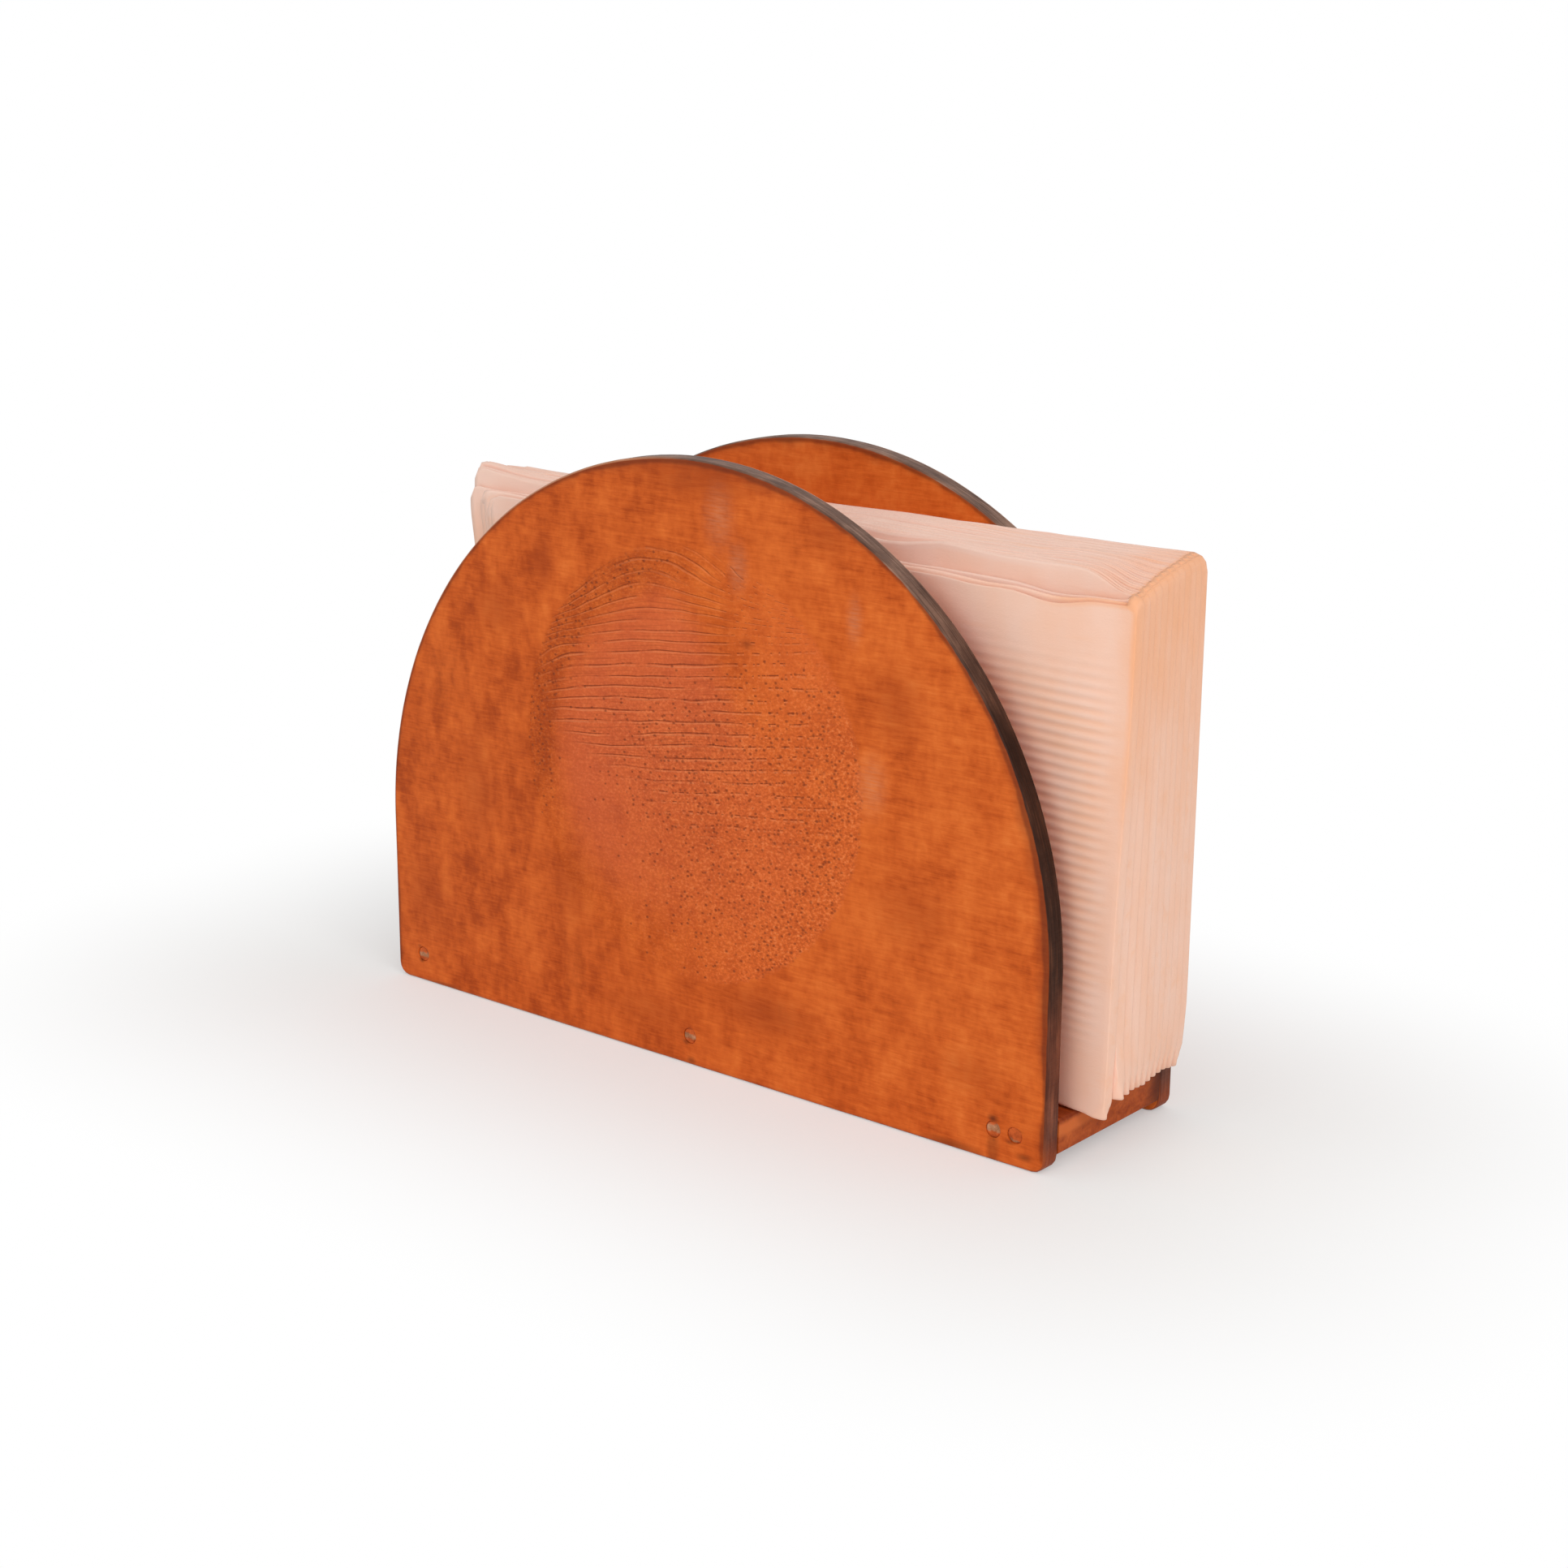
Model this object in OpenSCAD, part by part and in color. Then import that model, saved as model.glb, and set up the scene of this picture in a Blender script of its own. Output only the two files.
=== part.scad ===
// Napkin holder: two arched plywood panels nailed to a raised base board,
// with a stack of folded paper napkins standing on edge in the slot.
// The origin is the middle of the front panel's foot, on the table.
// +X runs to the holder's right, +Y from the front panel to the back one, +Z up.

/* [Panels] */
// Width of each panel, which is also the diameter of its half round top
panel_w = 150; // [110:1:200]
// Height of a panel's straight sides, from the table to the half round
side_h = 32; // [20:1:60]
// Thickness of each panel
panel_t = 4; // [3:0.5:6]
// Radius of a panel's two bottom corners
corner_r = 2.5; // [2:0.5:8]
// Width of the small slope that eases each sawn edge
edge_ease = 0.4; // [0.2:0.1:0.8]

/* [Base board] */
// Clear depth between the panels
slot_d = 30; // [26:1:50]
// Thickness of the base board
base_t = 6; // [5:0.5:9]
// Height of the base board's underside above the table
base_lift = 2.4; // [1:0.1:5]

/* [Nails] */
// Diameter of a nail's shank
nail_d = 1.2; // [1:0.1:1.6]
// Diameter of a nail's head
nail_head_d = 2.8; // [2.2:0.1:3.4]
// Thickness of a nail's head
nail_head_t = 0.5; // [0.3:0.1:0.8]
// Length of a nail under its head
nail_l = 15; // [11:0.5:16]
// Depth of a nail's head below the panel's face
nail_sink = 0.25; // [0.1:0.05:0.5]
// Radial clearance of a nail in its hole
nail_clear = 0.05; // [0.02:0.01:0.1]
// Distance of the front panel's left nail from the panel's edge
nail_left_in = 7; // [6:0.5:15]
// Distance of the front panel's right nail from the panel's edge
nail_right_in = 10; // [9:0.5:15]
// Distance from that nail to the spare one driven in beside it
nail_spare_step = 4.2; // [3.6:0.1:5]
// Lean of the spare nail, in degrees, with its tip up
nail_spare_lean = 8; // [0:1:9]
// Distance of the back panel's outer nails from the panel's edges
nail_back_in = 12; // [11:0.5:16]
// Distance of the back panel's middle nail to the right of the middle
nail_back_mid = 3; // [2:0.5:10]

/* [Napkins] */
// Number of napkins in the stack
napkin_n = 12; // [6:1:24]
// Width of a folded napkin, from its fold to its open edges
napkin_w = 152; // [100:1:180]
// Height of a folded napkin
napkin_h = 84.5; // [60:0.5:95]
// Free depth in front of the stack at its right end, where the folds are
room_right = 4.4; // [2:0.1:10]
// Free depth in front of the stack at its left end, where it is thinner
room_left = 12.8; // [2:0.1:14]
// Gap from one napkin to the next, and to the panel and the base board
napkin_gap = 0.3; // [0.2:0.05:0.4]
// Distance that the first napkin stands out past the base board's right end
overhang_front = 6.8; // [2:0.1:12]
// Distance that the last napkin stands out there
overhang_back = 4.6; // [2:0.1:12]
// Lean of the first napkin to the right, in degrees; the last stands straight
lean_front = 0.7; // [0:0.1:1.5]
// Height by which the others have ridden up above the first napkin
stack_rise = 2.8; // [0:0.1:4]
// Radius of a napkin's two corners at its fold
fold_corner_r = 2; // [1:0.5:5]
// Distance by which a napkin's front leaf ends short of its back leaf
leaf_short = 4.5; // [0.5:0.5:6]

/* [Hidden] */
$fn = 96;
FIXED_NODES = ["front_panel", "back_panel", "base_board", "front_nails", "back_nails"];

// One overrun serves every cut that runs out of its piece.
overrun = 1;
arch_r = panel_w / 2;
base_top = base_lift + base_t;
front_face_y = -panel_t / 2;
slot_front_y = panel_t / 2;
back_face_y = slot_front_y + slot_d + panel_t;

// A nail is level with the middle of the base board's edge.
nail_z = base_lift + base_t / 2;
nail_tip_l = 2 * nail_d;
nail_tip_d = nail_d / 6;
// Each nail has its place along X and its lean.
front_nail_places = [
    [-arch_r + nail_left_in, 0],
    [0, 0],
    [arch_r - nail_right_in, 0],
    [arch_r - nail_right_in + nail_spare_step, nail_spare_lean]
];
back_nail_places = [[-arch_r + nail_back_in, 0], [nail_back_mid, 0], [arch_r - nail_back_in, 0]];

// The napkins fill the slot from its back to the free room in front of them.
pitch_right = (slot_d - room_right) / napkin_n;
pitch_left = (slot_d - room_left) / napkin_n;
napkin_t_right = pitch_right - napkin_gap;
napkin_t_left = pitch_left - napkin_gap;
fold_r = napkin_t_right / 2;
// Share of a napkin's thickness that lies open between its two leaves
leaf_gap_share = 0.12;
fold_step_deg = 15;

function napkin_name(i) = str("napkin_", i < 9 ? "0" : "", i + 1);

// Share of the way from the first napkin to the last
function depth_share(i) = i / (napkin_n - 1);

// Where the middle of a napkin's thickness lies in the slot, at either end
function middle_y_right(i) = slot_front_y + room_right + pitch_right * i + napkin_t_right / 2;
function middle_y_left(i) = slot_front_y + room_left + pitch_left * i + napkin_t_left / 2;

// The stack is thinner at the left, so each napkin turns a little about +Z.
function napkin_yaw(i) = -asin((middle_y_left(i) - middle_y_right(i)) / napkin_w);
function napkin_lean(i) = lean_front * (1 - depth_share(i));
function napkin_overhang(i) = overhang_front + (overhang_back - overhang_front) * depth_share(i);
function napkin_foot_z(i) = base_top + napkin_gap - napkin_overhang(i) * sin(napkin_lean(i))
    + (i == 0 ? 0 : stack_rise);

// Section of an eased board: its width along X, its thickness along Y from zero
module eased_section(width, thickness) {
    polygon([
        [-width / 2 + edge_ease, 0],
        [width / 2 - edge_ease, 0],
        [width / 2, edge_ease],
        [width / 2, thickness - edge_ease],
        [width / 2 - edge_ease, thickness],
        [-width / 2 + edge_ease, thickness],
        [-width / 2, thickness - edge_ease],
        [-width / 2, edge_ease]
    ]);
}

// Disc with eased rims, its axis along Y from zero to the panel's thickness
module eased_disc(radius) {
    rotate([-90, 0, 0])
        rotate_extrude()
            polygon([
                [0, 0],
                [radius - edge_ease, 0],
                [radius, edge_ease],
                [radius, panel_t - edge_ease],
                [radius - edge_ease, panel_t],
                [0, panel_t]
            ]);
}

// Half round top of a panel, from the straight sides up
module panel_arch() {
    translate([0, 0, side_h])
        intersection() {
            eased_disc(arch_r);
            translate([-arch_r - overrun, -overrun, 0])
                cube([panel_w + 2 * overrun, panel_t + 2 * overrun, arch_r + overrun]);
        }
}

// Rounded bottom corner of a panel; side is 1 at the right and -1 at the left
module panel_corner(side) {
    translate([side * (arch_r - corner_r), 0, corner_r])
        intersection() {
            eased_disc(corner_r);
            translate([side > 0 ? 0 : -corner_r - overrun, -overrun, -corner_r - overrun])
                cube([corner_r + overrun, panel_t + 2 * overrun, corner_r + overrun]);
        }
}

// Foot of a panel between its two corners, eased along its bottom edges
module panel_foot() {
    translate([-arch_r + corner_r, 0, 0])
        rotate([90, 0, 90])
            linear_extrude(panel_w - 2 * corner_r)
                polygon([
                    [edge_ease, 0],
                    [panel_t - edge_ease, 0],
                    [panel_t, edge_ease],
                    [panel_t, corner_r],
                    [0, corner_r],
                    [0, edge_ease]
                ]);
}

// Whole blank of a panel, from zero to its thickness along Y
module panel_blank() {
    panel_arch();
    translate([0, 0, corner_r])
        linear_extrude(side_h - corner_r)
            eased_section(panel_w, panel_t);
    panel_foot();
    panel_corner(1);
    panel_corner(-1);
}

// A nail along +Y that is driven into a face at y = 0
module nail() {
    rotate([-90, 0, 0]) {
        translate([0, 0, nail_sink])
            cylinder(h = nail_head_t, d = nail_head_d);
        translate([0, 0, nail_sink + nail_head_t])
            cylinder(h = nail_l - nail_tip_l, d = nail_d);
        translate([0, 0, nail_sink + nail_head_t + nail_l - nail_tip_l])
            cylinder(h = nail_tip_l, d1 = nail_d, d2 = nail_tip_d);
    }
}

// The hole that a nail has made for itself, with its head's recess
module nail_hole() {
    rotate([-90, 0, 0]) {
        translate([0, 0, -overrun])
            cylinder(h = overrun + nail_sink + nail_head_t, d = nail_head_d + 2 * nail_clear);
        translate([0, 0, nail_sink])
            cylinder(h = nail_head_t + nail_l + nail_clear, d = nail_d + 2 * nail_clear);
    }
}

module at_front_nails() {
    for (place = front_nail_places)
        translate([place[0], front_face_y, nail_z])
            rotate([place[1], 0, 0])
                children();
}

module at_back_nails() {
    for (place = back_nail_places)
        translate([place[0], back_face_y, nail_z])
            rotate([0, 0, 180])
                children();
}

module front_panel() {
    color([0.78, 0.36, 0.15])
        difference() {
            translate([0, front_face_y, 0])
                panel_blank();
            at_front_nails()
                nail_hole();
        }
}

module back_panel() {
    color([0.74, 0.33, 0.14])
        difference() {
            translate([0, slot_front_y + slot_d, 0])
                panel_blank();
            at_back_nails()
                nail_hole();
        }
}

module base_board() {
    color([0.58, 0.29, 0.15])
        difference() {
            translate([0, slot_front_y + slot_d, base_lift])
                rotate([90, 0, 0])
                    linear_extrude(slot_d)
                        eased_section(panel_w, base_t);
            at_front_nails()
                nail_hole();
            at_back_nails()
                nail_hole();
        }
}

module front_nails() {
    color([0.72, 0.62, 0.5])
        at_front_nails()
            nail();
}

module back_nails() {
    color([0.72, 0.62, 0.5])
        at_back_nails()
            nail();
}

// Plan of a napkin folded in two leaves: the fold is at x = 0 and the open edges
// lie towards -X, where the leaves are thinner and the front one ends short
module leaves_plan() {
    open_right = leaf_gap_share * napkin_t_right / 2;
    open_left = leaf_gap_share * napkin_t_left / 2;
    polygon(concat(
        [[-napkin_w + leaf_short, -napkin_t_left / 2]],
        [for (a = [-90 : fold_step_deg : 90]) [fold_r * (cos(a) - 1), fold_r * sin(a)]],
        [
            [-napkin_w, napkin_t_left / 2],
            [-napkin_w, open_left],
            [-napkin_t_right, open_right],
            [-napkin_t_right, -open_right],
            [-napkin_w + leaf_short, -open_left]
        ]
    ));
}

// Side view of a napkin, with its two corners at the fold rounded
module napkin_side() {
    translate([-napkin_w, 0])
        square([napkin_w - fold_corner_r, napkin_h]);
    translate([-napkin_w, fold_corner_r])
        square([napkin_w, napkin_h - 2 * fold_corner_r]);
    for (z = [fold_corner_r, napkin_h - fold_corner_r])
        translate([-fold_corner_r, z])
            circle(fold_corner_r);
}

// One folded napkin, its fold's lower corner at the origin
module folded_napkin() {
    intersection() {
        linear_extrude(napkin_h)
            leaves_plan();
        rotate([90, 0, 0])
            linear_extrude(2 * napkin_t_right, center = true)
                napkin_side();
    }
}

// The napkin that stands in place i, counted from the front
module napkin(i) {
    color([0.93, 0.76, 0.66])
        translate([arch_r + napkin_overhang(i), middle_y_right(i), napkin_foot_z(i)])
            rotate([0, 0, napkin_yaw(i)])
                rotate([0, napkin_lean(i), 0])
                    folded_napkin();
}

front_panel();
back_panel();
base_board();
front_nails();
back_nails();
for (i = [0 : napkin_n - 1]) {
    napkin(i);
}
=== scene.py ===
"""Looks of the napkin holder: stained plywood panels, nailed base board and folded paper napkins."""

import math

import bmesh
import bpy
from mathutils import Euler, Matrix, Vector, noise


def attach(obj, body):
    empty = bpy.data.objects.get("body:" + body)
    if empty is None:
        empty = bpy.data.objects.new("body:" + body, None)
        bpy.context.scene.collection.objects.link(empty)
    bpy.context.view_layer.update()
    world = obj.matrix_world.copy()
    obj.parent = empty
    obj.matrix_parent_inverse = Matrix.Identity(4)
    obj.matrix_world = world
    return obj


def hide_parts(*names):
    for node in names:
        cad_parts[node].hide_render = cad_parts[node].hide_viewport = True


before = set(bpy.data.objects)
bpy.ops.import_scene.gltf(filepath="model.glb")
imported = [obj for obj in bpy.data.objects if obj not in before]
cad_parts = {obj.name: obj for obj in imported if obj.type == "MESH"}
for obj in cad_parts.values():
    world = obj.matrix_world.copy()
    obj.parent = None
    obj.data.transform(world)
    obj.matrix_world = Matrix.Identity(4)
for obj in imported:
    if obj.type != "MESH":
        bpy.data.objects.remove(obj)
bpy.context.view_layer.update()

MM = 0.001

# Camera, from a fit of the panels' outlines to the photograph's frame
IMAGE_PX = 1932
FOCAL_PX = 3270
SENSOR_MM = 36.0
CAMERA_PLACE_MM = (291.32, -328.77, 170.51)
CAMERA_TURN_DEG = (74.758, -0.337, 39.679)

# Sizes in millimetres, the same as in the part's source
PANEL_W = 150.0
SIDE_H = 32.0
PANEL_T = 4.0
CORNER_R = 2.5
SLOT_D = 30.0
BASE_T = 6.0
BASE_LIFT = 2.4
NAIL_D = 1.2
NAIL_HEAD_D = 2.8
NAIL_HEAD_T = 0.5
NAIL_L = 15.0
NAIL_SINK = 0.25
NAIL_CLEAR = 0.05
NAIL_LEFT_IN = 7.0
NAIL_RIGHT_IN = 10.0
NAIL_SPARE_STEP = 4.2
NAIL_SPARE_LEAN_DEG = 8.0
NAIL_BACK_IN = 12.0
NAIL_BACK_MID = 3.0
NAPKIN_N = 12
NAPKIN_W = 152.0
NAPKIN_H = 84.5
ROOM_RIGHT = 4.4
ROOM_LEFT = 12.8
NAPKIN_GAP = 0.3
OVERHANG_FRONT = 6.8
OVERHANG_BACK = 4.6
LEAN_FRONT_DEG = 0.7
STACK_RISE = 2.8

ARCH_R = PANEL_W / 2
FRONT_FACE_Y = -PANEL_T / 2
SLOT_FRONT_Y = PANEL_T / 2
BACK_INNER_Y = SLOT_FRONT_Y + SLOT_D
BACK_FACE_Y = BACK_INNER_Y + PANEL_T
BASE_TOP = BASE_LIFT + BASE_T
NAIL_Z = BASE_LIFT + BASE_T / 2
FRONT_NAILS = [
    (-ARCH_R + NAIL_LEFT_IN, 0.0),
    (0.0, 0.0),
    (ARCH_R - NAIL_RIGHT_IN, 0.0),
    (ARCH_R - NAIL_RIGHT_IN + NAIL_SPARE_STEP, NAIL_SPARE_LEAN_DEG),
]
BACK_NAILS = [(-ARCH_R + NAIL_BACK_IN, 0.0), (NAIL_BACK_MID, 0.0), (ARCH_R - NAIL_BACK_IN, 0.0)]

# Finish of the panels' sawn edges, and the faces round a nail's hole
EDGE_ROUND = 0.55
EDGE_WOBBLE = 0.05
WOBBLE_COARSE = 9.0
WOBBLE_FINE = 1.7
PLY_GROOVE = 0.02
PLY_GROOVE_HALF = 0.18
OUTLINE_STEP = 0.9
EDGE_ARC_STEPS = 5
HOLE_STEPS = 28
# Torn lip of a nail's recess: how far outside its wall, how deep and how uneven
TORN_LIP = ((0.10, 0.0, 0.04), (-0.01, 0.04, 0.02), (-0.03, 0.12, 0.0))
# Hammered face of a nail's head from its middle out: share of the radius and depth
HEAD_FACE = ((0.0, -0.13), (0.45, -0.12), (0.80, -0.12), (0.93, -0.08), (1.0, 0.04))
HEAD_DENT = 0.04
HEAD_BEVEL = 0.14
NECK_L = 0.25

# The napkins' paper and its folds; a napkin's nose is its upright fold, blunt but for its pointed foot
PAPER_T = 0.07
STACK_AIR = 0.04
FOOT_FOLD = 0.5
INNER_FOOT = 1.0
TOP_FOLD = 0.3
NOSE_DEPTH = 0.10
NOSE_POWER = 0.32
NOSE_JITTER = 0.03
FOOT_POINT = 2.4
FOOT_POINT_H = 3.2
FOOT_POINT_POWER = 1.7
NOSE_CORNER_R = 1.7
NOSE_CORNER_MORE = 0.9
OPEN_CORNER_R = 2.6
DENT_SHARE = 0.16
# Noses through the stack, from the first napkin back: their sag at the top and how far they draw in
NOSE_DROOP = (0.0, 2.8, 2.2, 1.7, 1.25, 0.9, 0.6, 0.35, 0.15, 0.0, 0.0, 0.0)
NOSE_DRAWN_IN = (1.1, 0.9, 0.6, 0.3, 0.1, 0.0)
# How far each nose's foot stands out and hangs down, and up to which heights
FOOT_SHIFT = (-0.3, 1.5, 1.0, 0.5, 0.15, -0.1, -0.25, -0.4, -0.55, -0.7, -0.8, -0.9)
FOOT_DROP = (0.7, 0.2, 0.05, 0.0, 0.3, 0.65, 0.7, 0.65, 0.7, 0.85, 1.3, 1.7)
FOOT_SHIFT_H = 11.0
FOOT_DROP_H = 9.0
# Waves of the top edges, as heights and lengths, and the steps between the two open edges and the fold
TOP_WAVES = ((0.8, 34.0), (0.4, 12.0), (0.12, 7.0))
TOP_STEP = (0.1, -0.3, 0.15)
# How far the left end dips and reaches out, the slant of the ends, and the second napkin's dip
LEFT_DIP = 1.6
LEFT_LONGER = 1.5
END_SLANT = 1.1
SECOND_DIP = 1.1
# The first napkin's front leaf: it ends short, sags most near its nose, and leans and swells out
FRONT_LEAF_SHORT = 8.5
FRONT_SAG = 1.4
FRONT_SAG_MORE = 1.5
FRONT_SAG_X = -14.0
FRONT_SAG_REACH = 6.0
FRONT_LEAN = 1.3
FRONT_SWELL = 0.35
RIB_PITCH = 1.7
RIB_HEIGHT = 0.21
# Stretches along a napkin, whose nose is at 0: where a change begins and where it is whole
AT_NOSE = (-12.0, -1.0)
OFF_NOSE = (-1.0, -14.0)
NEAR_FOLD = (-9.0, 0.0)
SECOND_DIP_X = (-36.0, -50.0)
LEFT_DIP_X = (-85.0, -125.0)
LEFT_WARM_X = (-118.0, -134.0)
LOOSE_END_X = (-118.0, -142.0)
# Rows and columns of each sheet's mesh; the ribbed strip has rows of its own
RIB_ROWS = 300
STRIP_ROWS = 21
LEAF_COLUMNS = 56
NOSE_COLUMNS = 9

# Level of the daylight round the object, where 1 shows a colour as it is written
WORLD_LEVEL = 0.54
# The floor: half its side, how far off it has gone over into white, and its white beside the object
FLOOR_REACH_M = 3.0
FLOOR_SHADE_MM = 95.0
FLOOR_WHITE_NEAR = 0.35
# Soft lamps: name, place and aim in metres, side of the square, watts and colour
LAMPS = [
    ("key", (1.15, -0.55, 0.95), (0.03, 0.02, 0.05), 0.9, 6.7, (1.0, 0.985, 0.96)),
    ("front", (0.30, -1.35, 0.75), (0.02, 0.0, 0.05), 1.0, 5.0, (0.99, 0.99, 1.0)),
    ("left", (-0.90, -0.90, 0.75), (-0.03, 0.0, 0.06), 0.9, 1.1, (1.0, 0.98, 0.95)),
    ("top", (0.10, 0.30, 1.20), (0.02, 0.02, 0.08), 0.8, 0.6, (1.0, 1.0, 1.0)),
]

# Lightness of each panel's stain, as its place on the stain's colour ramp
STAIN_FRONT = 0.03
STAIN_BACK = 0.10

# Round bare patch on the front panel, where the grain stands open
PATCH_CENTRE = (-0.5, 54.0)
PATCH_R = 38.0
PATCH_TILT_DEG = 8.5
PORE_ROW_PITCH = 2.0


def rgb(red, green, blue):
    """A colour given in the picture's 8 bit values, as the linear colour that a shader takes."""
    def linear(value):
        value /= 255.0
        return value / 12.92 if value <= 0.04045 else ((value + 0.055) / 1.055) ** 2.4
    return (linear(red), linear(green), linear(blue), 1.0)


def smooth(low, high, value):
    """Runs from 0 at low to 1 at high, with level ends."""
    t = min(1.0, max(0.0, (value - low) / (high - low)))
    return t * t * (3 - 2 * t)


class Graph:
    """A material's nodes. Most calls add nodes and return the last one's output; add returns the node."""

    def __init__(self, name):
        self.material = bpy.data.materials.new(name)
        self.material.use_nodes = True
        self.tree = self.material.node_tree
        self.tree.nodes.clear()
        self.shader = self.add("BsdfPrincipled")
        self.output = self.add("OutputMaterial", Surface=self.shader.outputs["BSDF"])
        self.mm = self.vector("SCALE", self.add("TexCoord").outputs["Object"], scale=1 / MM)
        self.x, self.y, self.z = self.add("SeparateXYZ", Vector=self.mm).outputs

    def feed(self, socket, value):
        if isinstance(value, bpy.types.NodeSocket):
            self.tree.links.new(value, socket)
        elif value is not None:
            socket.default_value = value

    def feed_all(self, node, inputs):
        """Feeds a node's inputs, each under its name with underscores for spaces."""
        for name, value in inputs.items():
            self.feed(node.inputs[name.replace("_", " ")], value)
        return node

    def add(self, kind, **inputs):
        return self.feed_all(self.tree.nodes.new("ShaderNode" + kind), inputs)

    def operate(self, kind, operation, values):
        node = self.add(kind)
        node.operation = operation
        for socket, value in zip(node.inputs, values):
            self.feed(socket, value)
        return node.outputs

    def vector(self, operation, a, b=None, scale=None):
        outputs = self.operate("VectorMath", operation, (a, b, None, scale))
        return outputs["Value" if operation == "LENGTH" else "Vector"]

    def math(self, operation, *values):
        return self.operate("Math", operation, values)[0]

    def sum(self, *terms):
        """Sum of value times weight over pairs of them."""
        total = 0.0
        for value, weight in terms:
            total = self.math("MULTIPLY_ADD", value, weight, total)
        return total

    def minus(self, a, b):
        return self.math("SUBTRACT", a, b)

    def product(self, *values):
        total = values[0]
        for value in values[1:]:
            total = self.math("MULTIPLY", total, value)
        return total

    def band(self, value, low, high, to_low=0.0, to_high=1.0):
        """Smooth step from low to high; either may be the larger."""
        if low > high:
            low, high, to_low, to_high = high, low, to_high, to_low
        node = self.add("MapRange", Value=value, From_Min=low, From_Max=high, To_Min=to_low, To_Max=to_high)
        node.interpolation_type = "SMOOTHSTEP"
        return node.outputs[0]

    def join(self, x, y, z):
        return self.add("CombineXYZ", X=x, Y=y, Z=z).outputs[0]

    def stretched(self, sizes, shift=0.0, place=None):
        """The place in units of the given feature sizes in millimetres, moved on by shift."""
        scaled = self.vector("MULTIPLY", place or self.mm, tuple(1 / size for size in sizes))
        return self.vector("ADD", scaled, (shift, shift * 0.7, shift * 1.3))

    def noise(self, sizes, shift=0.0, detail=3.0, rough=0.55, place=None, distortion=0.0):
        node = self.add("TexNoise", Vector=self.stretched(sizes, shift, place), Scale=1.0, Detail=detail,
                        Roughness=rough, Distortion=distortion)
        return node.outputs[0]

    def cells(self, sizes, shift, place):
        """Distance to the nearest of scattered points, and that point's own random shade of grey."""
        node = self.add("TexVoronoi", Vector=self.stretched(sizes, shift, place), Scale=1.0)
        return node.outputs["Distance"], self.add("RGBToBW", Color=node.outputs["Color"]).outputs[0]

    def ramp(self, value, stops):
        node = self.add("ValToRGB", Fac=value)
        elements = node.color_ramp.elements
        elements.remove(elements[1])
        elements[0].position = stops[0][0]
        elements[0].color = stops[0][1]
        for position, colour in stops[1:]:
            elements.new(position).color = colour
        return node.outputs["Color"]

    def mix(self, factor, a, b):
        node = self.add("Mix")
        node.data_type = "RGBA"
        sockets = {s.identifier: s for s in node.inputs}
        for name, value in (("Factor_Float", factor), ("A_Color", a), ("B_Color", b)):
            self.feed(sockets[name], value)
        return next(s for s in node.outputs if s.identifier == "Result_Color")

    def attribute(self, name):
        node = self.add("Attribute")
        node.attribute_name = name
        return node.outputs["Fac"]

    def bump(self, height_mm):
        node = self.add("Bump", Strength=1.0, Distance=MM, Height=height_mm)
        self.feed(self.shader.inputs["Normal"], node.outputs[0])

    def finish(self, colour, roughness, specular, **inputs):
        self.feed_all(self.shader, {"Base Color": colour, "Roughness": roughness,
                                    "Specular IOR Level": specular, **inputs})
        return self.material


def inset_from_outline(g):
    """Distance in from a panel's outline, on its broad faces."""
    above = g.math("MAXIMUM", g.minus(g.z, SIDE_H), 0.0)
    from_arch = g.minus(ARCH_R, g.vector("LENGTH", g.join(g.x, above, 0.0)))
    return g.math("MINIMUM", from_arch, g.z)


def spot(g, x, z, radius_x, radius_z, soft=1.0):
    """Soft round spot, 1 in its middle and 0 past its radii."""
    du = g.math("DIVIDE", g.minus(g.x, x), radius_x)
    dv = g.math("DIVIDE", g.minus(g.z, z), radius_z)
    return g.band(g.vector("LENGTH", g.join(du, dv, 0.0)), 1.0, 1.0 - soft)


# Larger clouds of the stain on the front panel: x and z, radii and strength
DARK_CLOUDS = [
    (-46, 76, 9, 8, 0.6), (-52, 42, 7, 16, 0.6), (-66, 18, 9, 12, 0.5), (-10, 8, 16, 6, 0.5),
    (18, 14, 15, 6, 0.9), (2, 104, 20, 5, 1.1), (44, 72, 9, 10, 0.6), (48, 38, 12, 9, 0.5),
    (30, 98, 7, 6, 0.7), (-28, 27, 8, 14, 0.5), (-34, 86, 4, 7, 0.7), (60, 14, 9, 5, 0.5),
]
LIGHT_CLOUDS = [
    (-60, 62, 10, 12, 0.6), (36, 32, 9, 10, 0.6), (20, 93, 12, 8, 0.6), (52, 24, 12, 8, 0.6),
    (-28, 12, 4, 11, 0.6),
]
# Pale scuffs in the varnish: x and z, and radii
SCUFFS = [(6.8, 98, 4.8, 8.0), (11.0, 90, 3.2, 6.5), (35.5, 84.5, 2.4, 6.0), (39.5, 58, 4.4, 7.5)]


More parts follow.
